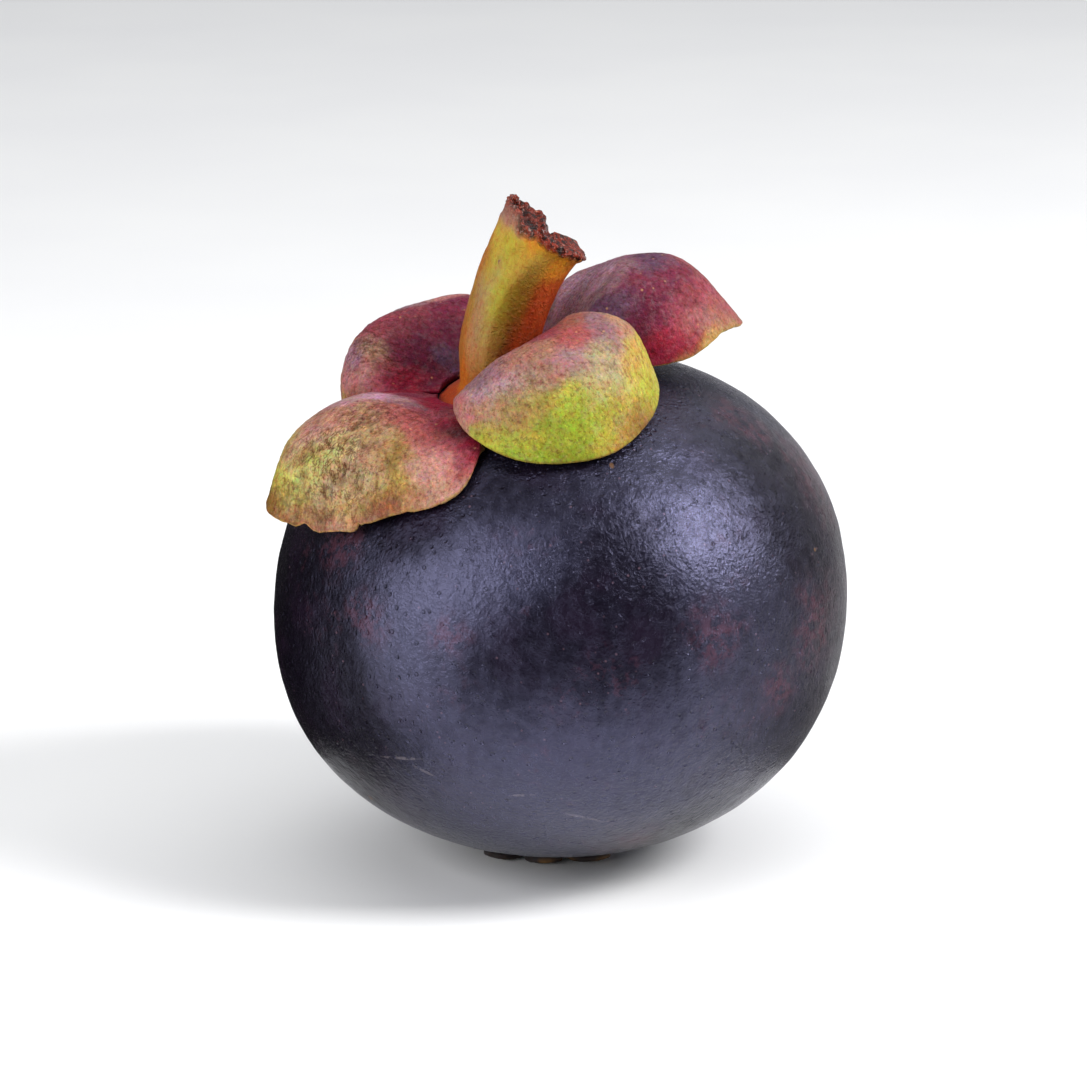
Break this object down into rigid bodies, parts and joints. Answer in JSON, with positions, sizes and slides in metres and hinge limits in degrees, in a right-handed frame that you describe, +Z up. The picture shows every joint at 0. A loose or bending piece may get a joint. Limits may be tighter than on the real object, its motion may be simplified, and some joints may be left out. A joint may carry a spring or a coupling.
{
  "type": "mangosteen",
  "caption": "Whole ripe mangosteen fruit: dark purple rounded rind, thick curled sepals round a short cut stem, standing on its dried stigma rosette.",
  "frame": {"origin": "centre of the stigma rosette's flat underside, which the fruit stands on", "axes": "+Z up from the rosette towards the calyx, -Y towards the front, which shows two sepals and the face of the stem that leans to the right (+X)"},
  "size_m": [0.0623, 0.0622, 0.0736],
  "materials": {
    "rind_skin": "smooth waxy purple-black skin with a soft grey bloom",
    "sepal_skin": "leathery, mottled from maroon to yellow-green",
    "stem_skin": "smooth fresh bark, yellow-green to orange, with a dark cut end",
    "dry_lobes": "dry, woody and dark brown"
  },
  "bodies": {
    "root": {"rind": "rind_skin", "stem": "stem_skin", "sepal_front_left": "sepal_skin", "sepal_front_right": "sepal_skin", "sepal_back_right": "sepal_skin", "sepal_back_left": "sepal_skin", "stigma_rosette": "dry_lobes"}
  },
  "joints": []
}
